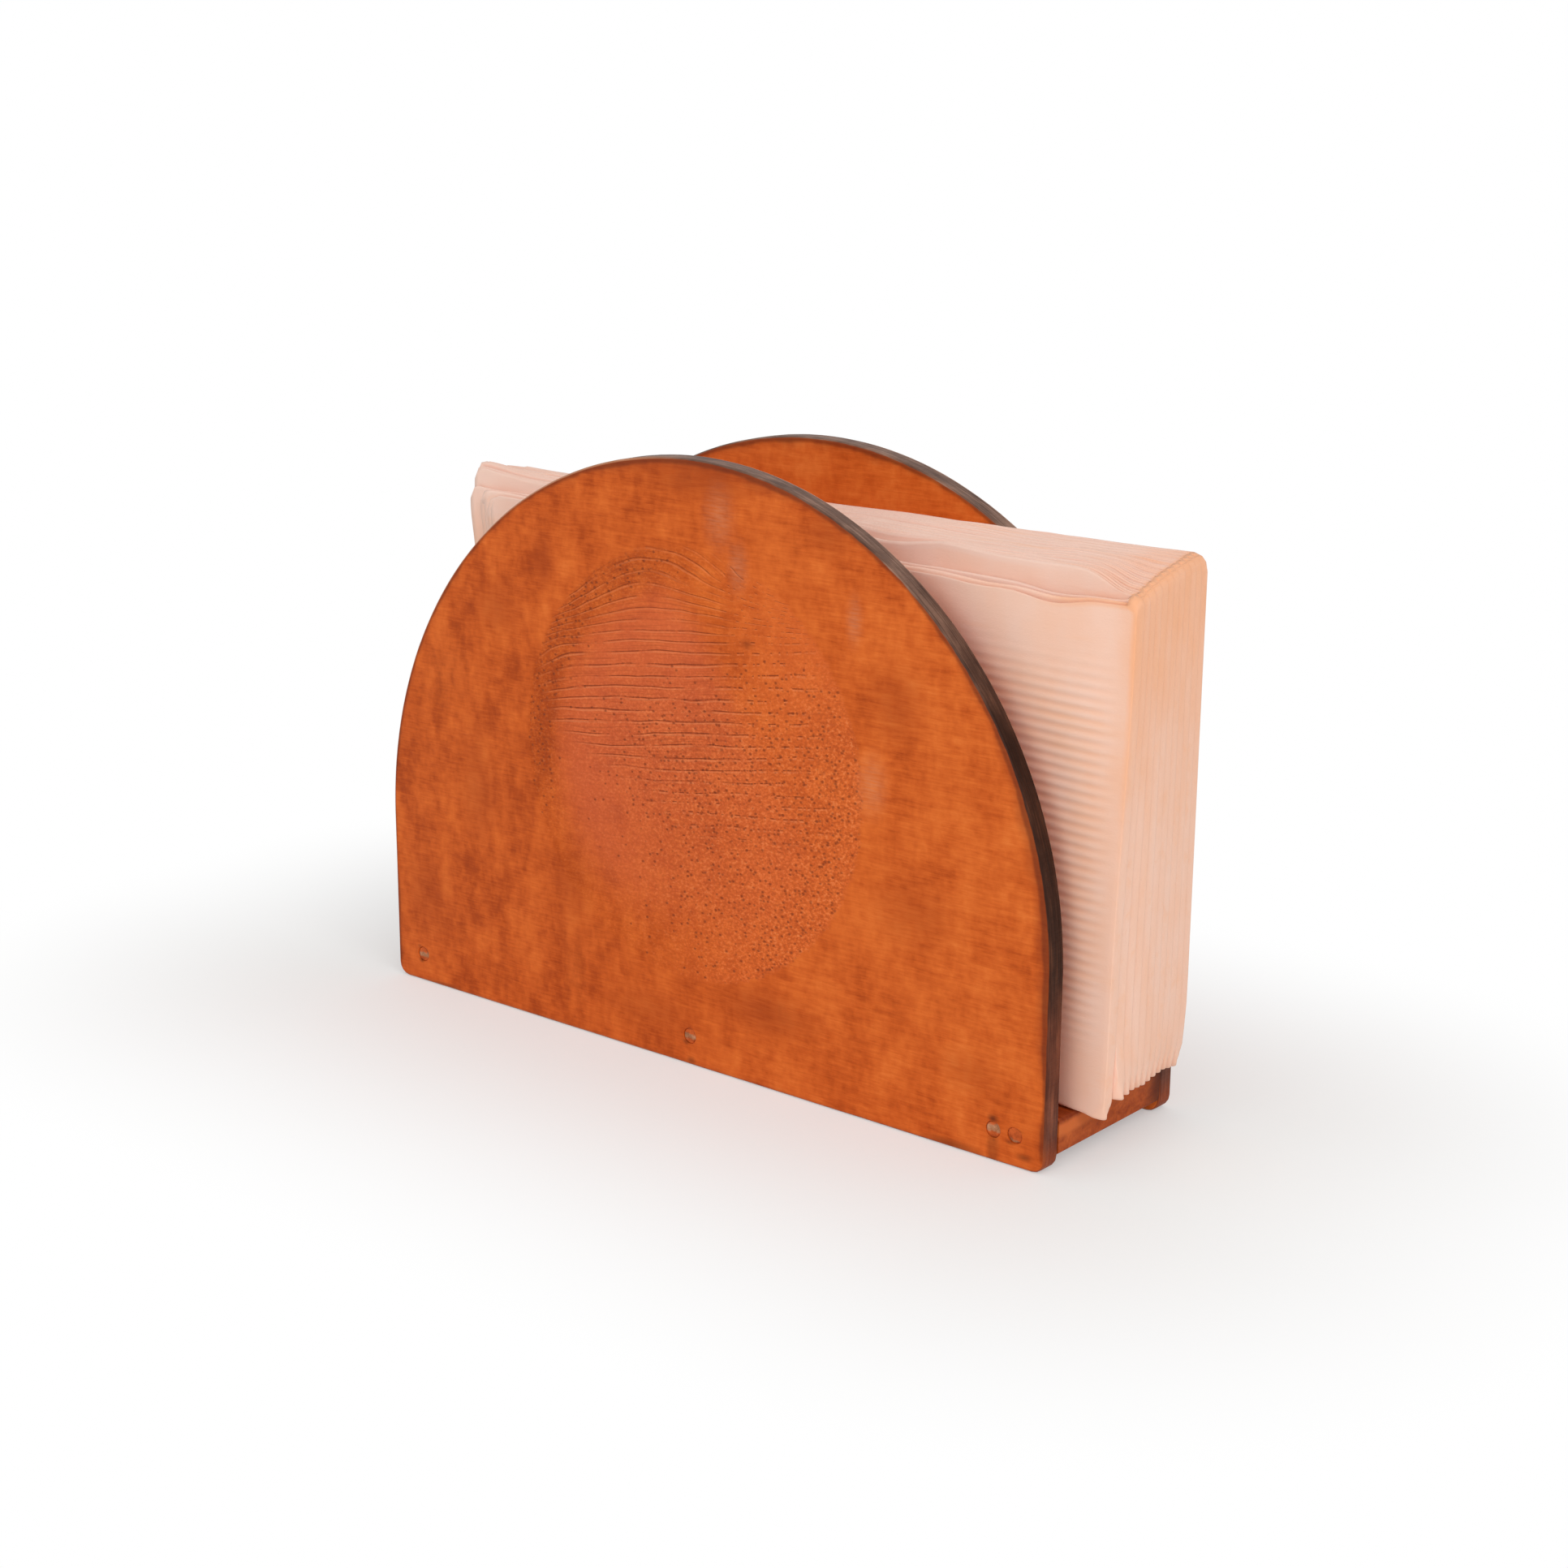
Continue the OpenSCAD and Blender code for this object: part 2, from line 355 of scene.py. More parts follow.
def stain(g, shift, level):
    """Colour of the stained veneer: clouds, upright smudges at the left, grain along X at the right."""
    clouds = g.noise((7, 7, 10), shift, detail=3, rough=0.5)
    upright = g.noise((3.0, 3.0, 6.5), shift + 5, detail=3)
    grain = g.noise((12, 12, 1.3), shift + 3, detail=4, rough=0.6)
    to_right = g.band(g.math("ADD", g.x, g.product(g.z, 0.35)), -28.0, 42.0)
    lean_grain = g.sum((upright, 1.0), (g.product(to_right, g.minus(grain, upright)), 1.0))
    smudges = g.noise((1.6, 1.6, 2.2), shift + 7, detail=3)
    streaks = g.noise((5.0, 5.0, 0.45), shift + 9, detail=3)
    fibre = g.noise((2.6, 2.6, 0.20), shift + 11, detail=2)
    top = g.band(g.z, 80.0, 104.0)
    tone = g.sum((clouds, 0.30), (lean_grain, 0.20), (smudges, 0.19), (streaks, 0.16), (fibre, 0.10),
                 (to_right, 0.05), (top, -0.03), (1.0, level))
    colour = g.ramp(tone, [
        (0.34, rgb(142, 52, 8)),
        (0.44, rgb(176, 72, 16)),
        (0.52, rgb(201, 90, 28)),
        (0.60, rgb(217, 105, 38)),
        (0.70, rgb(230, 122, 52)),
    ])
    return colour, smudges, fibre


class Patch:
    """Bare patch's own axes and masks; u runs along the pore rows and v across them."""

    def __init__(self, g, outer):
        angle = math.radians(PATCH_TILT_DEG)
        dx = g.minus(g.x, PATCH_CENTRE[0])
        dz = g.minus(g.z, PATCH_CENTRE[1])
        self.u = g.sum((dx, math.cos(angle)), (dz, math.sin(angle)))
        self.v = g.sum((dx, -math.sin(angle)), (dz, math.cos(angle)))
        self.tilted = g.join(self.u, self.v, 0.0)
        self.radius = g.vector("LENGTH", g.join(dx, dz, 0.0))
        ragged = g.sum((self.radius, 1.0), (g.noise((1.6, 1.6, 1.6), 21), 2.0), (1.0, -1.0))
        self.inside = g.product(g.band(ragged, PATCH_R + 0.5, PATCH_R - 0.7), outer)

        # Pebbled skin fades in past a slanting line and thickens towards the right rim.
        past_line = g.math("ADD", self.u, g.product(self.v, 0.40))
        lower = g.product(g.band(past_line, -38.0, 2.0), g.band(self.v, 26.0, 0.0))
        right = g.product(lower, g.band(self.radius, 14.0, PATCH_R - 4.0), g.band(self.u, -6.0, 16.0))
        self.ring = g.product(g.band(self.radius, PATCH_R - 9.0, PATCH_R - 4.0), g.band(self.u, 12.0, -10.0),
                              g.band(self.v, -16.0, 4.0), self.inside)
        self.crowd = g.math("MAXIMUM", g.product(lower, 0.78),
                            g.math("MAXIMUM", right, g.product(self.ring, 0.8)))


def pore_rows(g, patch):
    """The patch's dark pore rows and the thin painted highlight line under each of them, as on a groove's lit
    lower wall.
    """
    u, v = patch.u, patch.v
    # The rows arch over towards the patch's top and droop towards its left rim.
    off_peak = g.math("ADD", u, 5.0)
    arch = g.product(off_peak, off_peak, g.band(v, 20.0, 33.0), 0.02)
    off_left = g.math("MINIMUM", g.math("ADD", u, 24.0), 0.0)
    droop = g.product(off_left, off_left, g.band(v, 8.0, 20.0), 0.035)
    sway = g.noise((20, 6, 1), 25, detail=2, place=patch.tilted)
    level = g.sum((v, 1.0), (arch, 1.0), (droop, 1.0), (sway, 2.2))
    row = g.math("DIVIDE", level, PORE_ROW_PITCH)
    off_row = g.minus(g.math("FRACT", row), 0.5)
    along = g.join(u, g.product(g.math("FLOOR", row), 7.3), 0.0)
    strokes = g.noise((9.0, 1.0, 1.0), 31, detail=2, place=along)
    crumbs = g.noise((0.9, 1.0, 1.0), 35, detail=2, place=along)

    # Strokes are whole at the upper left and crumble into dots towards the right and the foot.
    left_end = g.math("MULTIPLY_ADD", g.math("MAXIMUM", g.minus(8.0, v), 0.0), 1.55, -33.0)
    begun = g.band(g.minus(u, left_end), -2.0, 7.0)
    crumbled = g.math("MAXIMUM", g.band(u, 9.5, 15.0), g.band(v, 4.0, -7.0))
    whole = g.band(g.sum((strokes, 0.75), (crumbs, 0.25)), 0.34, 0.52)
    broken = g.band(crumbs, 0.47, 0.60)
    amount = g.mix(crumbled, whole, broken)
    faint_top = g.band(v, 28.0, 16.0, 0.75, 1.0)
    shown = g.product(amount, faint_top, begun, g.band(v, -17.0, -9.0), g.band(u, 36.0, 24.0), patch.inside)
    width = g.math("MULTIPLY_ADD", crumbs, 0.09, 0.01)
    dark = g.band(g.math("DIVIDE", g.math("ABSOLUTE", off_row), width), 1.0, 0.3)
    # Painted highlight: a thin light line just under each row.
    light = g.band(g.math("ABSOLUTE", g.math("ADD", off_row, 0.15)), 0.10, 0.02)

    # Hair-fine lines run beside the strokes at the upper left.
    hair = g.noise((16.0, 0.30, 1.0), 27, detail=1, place=g.join(u, level, 0.0))
    fine = g.product(g.band(hair, 0.52, 0.68), begun, g.band(v, -6.0, 6.0), g.band(u, 22.0, 2.0),
                     patch.inside)
    return g.product(dark, shown), g.product(light, shown), fine


def pores(g, patch):
    """Small dark pores scattered over the patch where they crowd."""
    distance, shade = g.cells((1.05, 0.72, 1.0), 41, patch.tilted)
    density = g.math("MULTIPLY_ADD", patch.crowd, 0.60, 0.03)
    chosen = g.math("LESS_THAN", shade, density)
    return g.product(chosen, g.band(distance, 0.44, 0.14), patch.inside)


# Dark marks on the front panel: painted shade round the front nails' heads, and smudges along the foot and at
# the patch's knot: x and z, radii, strength
SHADE_AND_SMUDGES = [
    (13.0, 77.4, 2.2, 1.3, 0.40),
    (65.0, NAIL_Z + 1.9, 1.5, 1.0, 0.85), (65.2, NAIL_Z - 1.7, 1.0, 0.8, 0.55),
    (69.4, NAIL_Z + 0.9, 2.2, 0.7, 0.45), (68.4, NAIL_Z - 1.3, 1.4, 0.6, 0.55),
    (-68.5, NAIL_Z - 1.2, 1.0, 0.9, 0.75), (-68.9, NAIL_Z + 1.4, 0.9, 0.6, 0.45),
    (-0.8, NAIL_Z - 1.2, 1.3, 0.8, 0.60), (0.4, 0.9, 1.6, 1.1, 0.55),
    (71.2, 2.2, 2.2, 0.9, 0.60), (57.0, 0.7, 8.0, 1.3, 0.55), (-62.0, 0.4, 7.0, 0.9, 0.50),
]


def nail_shade_and_marks(g, nails, front):
    """Painted shade in rims round the nails' recesses; the front also has painted shade at its nail heads,
    smudges along its foot, and a stain that runs down.
    """
    shade_and_marks = 0.0
    for x, _ in nails:
        # Painted shade: a faint dark ring round each recess.
        ring = spot(g, x, NAIL_Z, NAIL_HEAD_D * 0.80, NAIL_HEAD_D * 0.70, soft=0.6)
        shade_and_marks = g.math("MAXIMUM", shade_and_marks, g.product(ring, 0.08))
    if front:
        for *place, strength in SHADE_AND_SMUDGES:
            shade_and_marks = g.math("MAXIMUM", shade_and_marks, g.product(spot(g, *place), strength))
        wobble = g.sum((g.noise((2.0, 2.0, 3.0), 57), 1.6), (1.0, -0.8))
        aside = g.math("ABSOLUTE", g.math("ADD", g.minus(g.x, nails[2][0]), wobble))
        streak = g.product(g.band(aside, 1.5, 0.4), g.band(g.z, NAIL_Z + 0.5, NAIL_Z - 1.0))
        shade_and_marks = g.math("MAXIMUM", shade_and_marks, g.product(streak, 0.38))
    return shade_and_marks


# Shades of the burnt edge, from the darkest: at the sides, on top where a grey sheen is painted in, lower
# down and at the foot
CHAR_STOPS = (0.36, 0.52, 0.68)
CHAR_SHADES = (
    ((34, 15, 8), (56, 30, 19), (92, 54, 36)),
    ((76, 52, 42), (113, 84, 70), (160, 124, 105)),
    ((74, 36, 24), (108, 58, 40), (140, 80, 56)),
    ((118, 50, 22), (158, 74, 36), (186, 94, 46)),
)


def burnt_edge(g):
    """Colour of the sawn and burnt edge: a painted grey sheen on top, nearly black at the sides, browner at
    the foot.
    """
    char = g.noise((7, 2.5, 7), 71, detail=4, rough=0.6)
    hairlines = g.noise((11, 0.22, 11), 75, detail=2)
    tone = g.sum((char, 0.6), (hairlines, 0.4))
    dark, sheen_grey, brown, orange = (
        g.ramp(tone, [(stop, rgb(*shade)) for stop, shade in zip(CHAR_STOPS, shades)])
        for shades in CHAR_SHADES
    )
    # Painted sheen: the edge turns grey up the arch, as if lit from above.
    colour = g.mix(g.band(g.z, 66.0, 98.0), dark, sheen_grey)
    colour = g.mix(g.band(g.z, 34.0, 18.0), colour, brown)
    return g.mix(g.band(g.math("MULTIPLY_ADD", char, 4.0, g.z), 9.0, 3.0), colour, orange)


def front_face(g, outer, smudges, colour):
    """The front's clouds, bare patch and scuffs: their colour, the patch's relief and its mask."""
    for clouds, shade in ((DARK_CLOUDS, rgb(158, 62, 16)), (LIGHT_CLOUDS, rgb(222, 110, 42))):
        for *place, strength in clouds:
            amount = g.product(spot(g, *place), outer, smudges, strength)
            colour = g.mix(amount, colour, shade)

    patch = Patch(g, outer)
    colour = worn_patch(g, patch, colour)
    rows, lips, hairs = pore_rows(g, patch)
    dots = pores(g, patch)
    colour = g.mix(g.product(hairs, 0.30), colour, rgb(148, 60, 26))
    # Painted highlight lines under the pore rows.
    colour = g.mix(g.product(lips, 0.32), colour, rgb(238, 148, 98))
    colour = g.mix(g.product(rows, 0.74), colour, rgb(116, 44, 18))
    colour = g.mix(g.product(dots, 0.62), colour, rgb(116, 48, 20))
    pebbles, _ = g.cells((0.75, 0.6, 1.0), 53, patch.tilted)
    rugged = g.product(pebbles, patch.inside, g.math("MULTIPLY_ADD", patch.crowd, 0.8, 0.2))

    hatch = g.noise((3.0, 3.0, 0.34), 61, detail=2)
    scuffed = g.product(outer, g.band(hatch, 0.30, 0.66, 0.35, 1.0), 0.38)
    for place in SCUFFS:
        colour = g.mix(g.product(spot(g, *place), scuffed), colour, rgb(204, 138, 102))
    return colour, g.sum((rows, -0.07), (dots, -0.10), (rugged, -0.12)), patch.inside


def scorched(g, shift, colour):
    """A face scorched along its outline, most of all beside its right side, and burnt at the arris."""
    beside =g.product(g.band(g.x, 40.0, 66.0), g.band(g.z, 12.0, 24.0), g.band(g.z, 84.0, 50.0))
    crown = g.product(g.band(g.x, -36.0, -14.0), g.band(g.x, 34.0, 12.0), g.band(g.z, 70.0, 90.0))
    reach = g.sum((g.noise((9, 9, 9), shift + 81, detail=3), 4.0), (beside, 1.6), (crown, 0.8), (1.0, -1.4))
    inset = inset_from_outline(g)
    off_foot = g.band(g.z, 1.0, 4.0, 0.15, 1.0)
    scorch = g.band(g.minus(inset, reach), 1.2, -1.2)
    colour = g.mix(g.product(scorch, off_foot, 0.45), colour, rgb(136, 52, 20))
    at_arris = g.band(g.minus(inset, g.product(reach, 0.35)), 0.9, 0.2)
    return g.mix(g.product(at_arris, off_foot, 0.55), colour, rgb(84, 32, 16))


def panel_rim(g, shift, front, colour):
    """Burnt rim; on top the arris that faces away is painted pale as a highlight, and the front's near arris
    at its left is paler.
    """
    rim = g.attribute("rim")
    ragged = g.sum((rim, 1.0), (g.noise((3, 3, 3), shift + 83, detail=2), 0.7), (1.0, -0.35))
    colour = g.mix(g.band(ragged, 0.30, 0.72), colour, burnt_edge(g))
    middle_y = 0.0 if front else BACK_INNER_Y + PANEL_T / 2
    far_side = g.band(g.y, middle_y, middle_y + 1.0)
    # Painted highlight along the top of the arris that faces away.
    worn = g.product(g.band(rim, 0.2, 0.6), far_side, g.band(g.z, 84.0, 100.0), 0.75)
    colour = g.mix(worn, colour, rgb(206, 150, 122))
    if front:
        near_side = g.band(g.y, FRONT_FACE_Y + 0.9, FRONT_FACE_Y + 0.6)
        pale = g.product(g.band(rim, 0.05, 0.45), near_side, g.band(g.x, 0.0, -14.0),
                         g.band(g.z, 6.0, 30.0, 0.4, 1.0), 0.65)
        colour = g.mix(pale, colour, rgb(206, 142, 104))
    return colour


def panel_material(name, shift, front):
    """Stained and varnished plywood; the front panel's outer face also has the bare patch."""
    g = Graph(name)
    face_y, inward, nails = (FRONT_FACE_Y, 1, FRONT_NAILS) if front else (BACK_FACE_Y, -1, BACK_NAILS)
    outer = g.band(g.y, face_y + inward * 0.6, face_y + inward * 0.2)
    colour, smudges, fibre = stain(g, shift, STAIN_FRONT if front else STAIN_BACK)
    height = g.sum((fibre, 0.020), (smudges, 0.030))
    rough = g.sum((g.noise((5, 5, 5), shift + 91), 0.16), (1.0, 0.38))
    if front:
        colour, relief, bare = front_face(g, outer, smudges, colour)
        height = g.math("ADD", height, relief)
        rough = g.math("MULTIPLY_ADD", bare, 0.12, rough)
    # The painted shade at the nails, the smudges and the stain darken the outer face.
    shade_and_marks = g.product(nail_shade_and_marks(g, nails, front), outer)
    colour = scorched(g, shift, g.mix(shade_and_marks, colour, rgb(92, 36, 12)))
    g.bump(height)
    return g.finish(panel_rim(g, shift, front, colour), rough, 0.12)


def worn_patch(g, patch, colour):
    """Tint of the patch: pinker at its left, orange at its right, gritty where the pores crowd."""
    slant = g.sum((patch.u, 0.55), (patch.v, -0.8))
    left_part = g.band(g.sum((patch.u, 1.0), (patch.v, 0.50)), 23.0, 13.0)
    off_ring = g.band(patch.ring, 1.0, 0.0, 0.25, 1.0)
    off_rim = g.band(patch.radius, PATCH_R - 1.0, PATCH_R - 14.0)
    pink = g.product(left_part, off_ring, off_rim, g.band(slant, 22.0, -16.0, 0.45, 1.0),
                     g.band(patch.v, -40.0, -18.0), patch.inside, 0.58)
    colour = g.mix(pink, colour, rgb(213, 101, 63))
    colour = g.mix(g.product(patch.ring, 0.12), colour, rgb(156, 66, 24))
    orange = g.product(patch.inside, g.band(g.sum((patch.u, 0.8), (patch.v, -0.3)), -2.0, 20.0), 0.45)
    colour = g.mix(orange, colour, rgb(226, 108, 50))
    grit = g.noise((0.62, 0.46, 1.0), 51, detail=3, rough=0.7, place=patch.tilted)
    amount = g.math("MULTIPLY_ADD", patch.crowd, 0.34, 0.10)
    colour = g.mix(g.product(patch.inside, g.band(grit, 0.54, 0.40), amount), colour, rgb(150, 60, 22))
    light = g.product(patch.inside, g.band(grit, 0.54, 0.66), amount, g.band(patch.ring, 1.0, 0.0, 0.4, 1.0))
    return g.mix(light, colour, rgb(244, 148, 88))


def edge_material():
    """Burnt plywood edge, with saw marks across its thickness and the plies' fine lines along it."""
    g = Graph("panel_edge")
    saw = g.noise((0.35, 9, 0.35), 87, detail=2)
    plies = g.noise((7, 0.4, 7), 89, detail=2)
    g.bump(g.sum((saw, 0.07), (plies, 0.06)))
    return g.finish(burnt_edge(g), g.sum((saw, 0.2), (1.0, 0.44)), 0.14)


def base_material():
    """Stained softwood board: long grain on top; its ends have a painted highlight streak under the top
    arris, a painted shadow line along the top edge and painted shade beside the back panel.
    """
    g = Graph("base_wood")
    rings = g.noise((40, 3.2, 1.9), 101, detail=4, rough=0.6, distortion=0.4)
    fine = g.noise((9, 0.5, 0.5), 103, detail=3)
    tone = g.sum((rings, 0.72), (fine, 0.28))
    colour = g.ramp(tone, [(0.32, rgb(140, 56, 20)), (0.50, rgb(172, 78, 32)), (0.68, rgb(198, 98, 44))])
    at_end = g.band(g.math("ABSOLUTE", g.x), ARCH_R - 0.6, ARCH_R - 0.2)
    # Painted highlight: a pale streak under the top arris of each end, fading towards the back.
    wave = g.sum((g.noise((6, 6, 6), 107, detail=2), 1.6), (1.0, -0.8))
    level = g.math("ADD", g.z, wave)
    above = g.band(level, BASE_TOP - 3.6, BASE_TOP - 2.4)
    below = g.band(level, BASE_TOP - 0.4, BASE_TOP - 1.4)
    near_front = g.band(g.y, SLOT_FRONT_Y + 13.0, SLOT_FRONT_Y + 5.0, 0.15, 1.0)
    colour = g.mix(g.product(at_end, above, below, near_front, 0.85), colour, rgb(214, 112, 54))
    # Painted shadow line along the ends' top edge.
    painted_top_shadow = g.product(at_end, g.band(g.z, BASE_TOP - 0.9, BASE_TOP - 0.1), 0.6)
    colour = g.mix(painted_top_shadow, colour, rgb(120, 52, 30))
    # Painted shade on the ends beside the back panel.
    dark = g.product(at_end, g.band(g.y, BACK_INNER_Y - 6.0, BACK_INNER_Y), 0.8)
    colour = g.mix(dark, colour, rgb(62, 24, 12))
    g.bump(g.sum((rings, 0.05), (fine, 0.04)))
    return g.finish(colour, g.sum((fine, 0.2), (1.0, 0.48)), 0.12)


def nail_material():
    """Dulled steel under a brown film of wood stain, rubbed bare across the middle of each head."""
    g = Graph("nail_steel")
    tarnish = g.noise((0.9, 0.9, 0.9), 111, detail=3)
    fine = g.noise((0.25, 0.25, 0.25), 113, detail=2)
    steel = g.ramp(g.sum((tarnish, 0.7), (fine, 0.3)), [
        (0.36, rgb(146, 98, 68)), (0.52, rgb(182, 128, 92)), (0.66, rgb(204, 152, 118)),
    ])
    # The right nail is the barest, high on its head; the spare one shows only a thin lip low on its head.
    last, spare = (g.band(g.math("ABSOLUTE", g.minus(g.x, x)), 2.0, 1.6)
                   for x, _ in FRONT_NAILS[2:])
    off_middle = g.sum((g.z, 1.0), (1.0, -NAIL_Z + 0.1), (last, -0.40), (spare, 0.85))
    height = g.math("ABSOLUTE", g.sum((off_middle, 1.0), (tarnish, 1.2), (1.0, -0.6)))
    bare = g.sum((last, 0.15), (spare, -0.26), (1.0, 0.40))
    film = g.band(g.minus(height, bare), -0.20, 0.30)
    stained = g.ramp(tarnish, [(0.38, rgb(168, 74, 30)), (0.62, rgb(204, 96, 42))])
    g.bump(g.sum((fine, 0.03)))
    return g.finish(g.mix(film, steel, stained), g.sum((tarnish, 0.2), (film, 0.14), (1.0, 0.32)), 0.12,
                    Metallic=g.band(film, 1.0, 0.0, 0.0, 0.5))


def paper_material():
    """Soft tissue paper: faint fibres, crimp, and a warmth per point that holds painted shade down in its
    folds and a painted paler top.
    """
    g = Graph("napkin_paper")
    fibre = g.noise((0.5, 0.5, 0.35), 121, detail=4, rough=0.7)
    cloud = g.noise((9, 4, 12), 123, detail=3)
    crease = g.noise((30, 2.6, 3.2), 127, detail=3, rough=0.6)
    warm_and_shade = g.math("MULTIPLY_ADD", g.attribute("warm_and_shade"), 1.0, g.sum((cloud, 0.5), (1.0, -0.25)))
    colour = g.mix(g.band(warm_and_shade, 0.0, 1.0), rgb(250, 214, 197), rgb(250, 184, 142))
    colour = g.mix(g.band(crease, 0.54, 0.72, 0.0, 0.30), colour, rgb(250, 188, 146))
    g.bump(g.sum((fibre, 0.05), (crease, 0.08)))
    return g.finish(colour, 0.86, 0.15, Sheen_Weight=0.1, Sheen_Roughness=0.5)


def outline_points(inset):
    """A panel's outline, drawn in by inset: x, z and outward direction, anticlockwise from the right foot."""
    points = []

    def arc(cx, cz, radius, start, end, count):
        for k in range(count):
            a = math.radians(start + (end - start) * k / count)
            points.append((cx + (radius - inset) * math.cos(a), cz + (radius - inset) * math.sin(a),
                           math.cos(a), math.sin(a)))

    def straight(x, z, to_x, to_z, nx, nz):
        count = round(math.hypot(to_x - x, to_z - z) / OUTLINE_STEP)
        for k in range(count):
            points.append((x + (to_x - x) * k / count, z + (to_z - z) * k / count, nx, nz))

    side_x = ARCH_R - inset
    corner_x = ARCH_R - CORNER_R
    corner_steps = round(math.pi / 2 * CORNER_R / OUTLINE_STEP)
    straight(side_x, CORNER_R, side_x, SIDE_H, 1.0, 0.0)
    arc(0.0, SIDE_H, ARCH_R, 0, 180, round(math.pi * ARCH_R / OUTLINE_STEP))
    straight(-side_x, SIDE_H, -side_x, CORNER_R, -1.0, 0.0)
    arc(-corner_x, CORNER_R, CORNER_R, 180, 270, corner_steps)
    straight(-corner_x, inset, corner_x, inset, 0.0, -1.0)
    arc(corner_x, CORNER_R, CORNER_R, 270, 360, corner_steps)
    return points


def edge_profile():
    """Across a panel's thickness: pairs of inset and depth, with rounded arrises and two glue lines."""
    points = []
    for k in range(EDGE_ARC_STEPS):
        a = math.pi / 2 * k / (EDGE_ARC_STEPS - 1)
        points.append((EDGE_ROUND * (1 - math.sin(a)), EDGE_ROUND * (1 - math.cos(a))))
    for glue in (PANEL_T / 3, PANEL_T * 2 / 3):
        points += [(0.0, glue - PLY_GROOVE_HALF), (PLY_GROOVE, glue), (0.0, glue + PLY_GROOVE_HALF)]
    points += [(inset, PANEL_T - depth) for inset, depth in reversed(points[:EDGE_ARC_STEPS])]
    return points


def wobble(place, reach):
    """Small uneven wear, as a length."""
    coarse = noise.noise(Vector(place) / WOBBLE_COARSE)
    fine = noise.noise(Vector(place) / WOBBLE_FINE + Vector((5.0, 0.0, 0.0)))
    return reach * (0.65 * coarse + 0.35 * fine)


def bridge(bm, ring_a, ring_b, material_index=0):
    """Smooth faces between two rings; a ring of one point closes the form there."""
    count = max(len(ring_a), len(ring_b))
    for k in range(count):
        corners = []
        for vert in (ring_a[k % len(ring_a)], ring_a[(k + 1) % len(ring_a)],
                     ring_b[(k + 1) % len(ring_b)], ring_b[k % len(ring_b)]):
            if vert not in corners:
                corners.append(vert)
        face = bm.faces.new(corners)
        face.smooth = True
        face.material_index = material_index


def bridge_all(bm, rings):
    """Smooth faces from each ring to the next."""
    for ring_a, ring_b in zip(rings, rings[1:]):
        bridge(bm, ring_a, ring_b)


def fill(bm, rings):
    """Fills the flat region between closed rings with flat faces."""
    edges = []
    for ring in rings:
        for k, vert in enumerate(ring):
            other = ring[(k + 1) % len(ring)]
            edges.append(bm.edges.get((vert, other)) or bm.edges.new((vert, other)))
    bmesh.ops.triangle_fill(bm, use_beauty=True, use_dissolve=False, edges=edges)


def circle_ring(bm, x, y, z, radius, torn=0.0):
    """A ring in a plane square to Y; torn makes its radius uneven, as a share of it."""
    ring = []
    for k in range(HOLE_STEPS):
        a = 2 * math.pi * k / HOLE_STEPS
        uneven = 1.0 + torn * noise.noise(Vector((x, 3 * math.cos(a), 3 * math.sin(a))))
        ring.append(bm.verts.new((x + radius * uneven * math.cos(a), y, z + radius * uneven * math.sin(a))))
    return ring


def add_object(name, data):
    """Puts a new object that holds the given data into the scene."""
    added = bpy.data.objects.new(name, data)
    bpy.context.scene.collection.objects.link(added)
    return added


def finish_mesh(bm, name, body, nodes, materials):
    """Turns a bmesh in millimetres into a piece in metres that rides on a body for the given nodes."""
    bmesh.ops.recalc_face_normals(bm, faces=bm.faces)
    bmesh.ops.scale(bm, vec=(MM, MM, MM), verts=bm.verts)
    mesh = bpy.data.meshes.new(name)
    bm.to_mesh(mesh)
    bm.free()
    for material in materials:
        mesh.materials.append(material)
    piece = add_object(name, mesh)
    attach(piece, body)
    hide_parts(*nodes)


def build_panel(name, node, y_outer, outward, nails, materials):
    """An arched panel whose outer face, towards outward along Y, is recessed at each nail."""
    bm = bmesh.new()
    rim_layer = bm.verts.layers.float.new("rim")
    rings = []
    for inset, depth in edge_profile():
        rim = smooth(EDGE_ROUND, 0.0, inset)
        ring = []
        for x, z, nx, nz in outline_points(inset):
            worn = (wobble((x, depth, z), EDGE_WOBBLE) - EDGE_WOBBLE) * rim
            vert = bm.verts.new((x + nx * worn, y_outer - outward * depth, z + nz * worn))
            vert[rim_layer] = rim
            ring.append(vert)
        rings.append(ring)
    for k in range(len(rings) - 1):
        on_band = EDGE_ARC_STEPS - 1 <= k < len(rings) - EDGE_ARC_STEPS
        bridge(bm, rings[k], rings[k + 1], material_index=1 if on_band else 0)

    # Each recess has a torn lip, a wall and a floor, and the shank's hole runs on through the panel.
    lips, exits = [], []
    recess_r = NAIL_HEAD_D / 2 + NAIL_CLEAR
    hole_r = NAIL_D / 2 + NAIL_CLEAR
    for x, lean in nails:
        rise = math.tan(math.radians(lean))
        floor = NAIL_SINK + NAIL_HEAD_T + NAIL_HEAD_D / 2 * rise
        levels = [(recess_r + out, depth, torn) for out, depth, torn in TORN_LIP]
        levels += [(recess_r, floor, 0.0), (hole_r, floor, 0.0), (hole_r, PANEL_T, 0.0)]
        recess = [circle_ring(bm, x, y_outer - outward * depth, NAIL_Z + rise * depth, radius, torn)
                  for radius, depth, torn in levels]
        bridge_all(bm, recess)
        lips.append(recess[0])
        exits.append(recess[-1])
    fill(bm, [rings[0], *lips])
    fill(bm, [rings[-1], *exits])
    finish_mesh(bm, name, "holder", [node], materials)


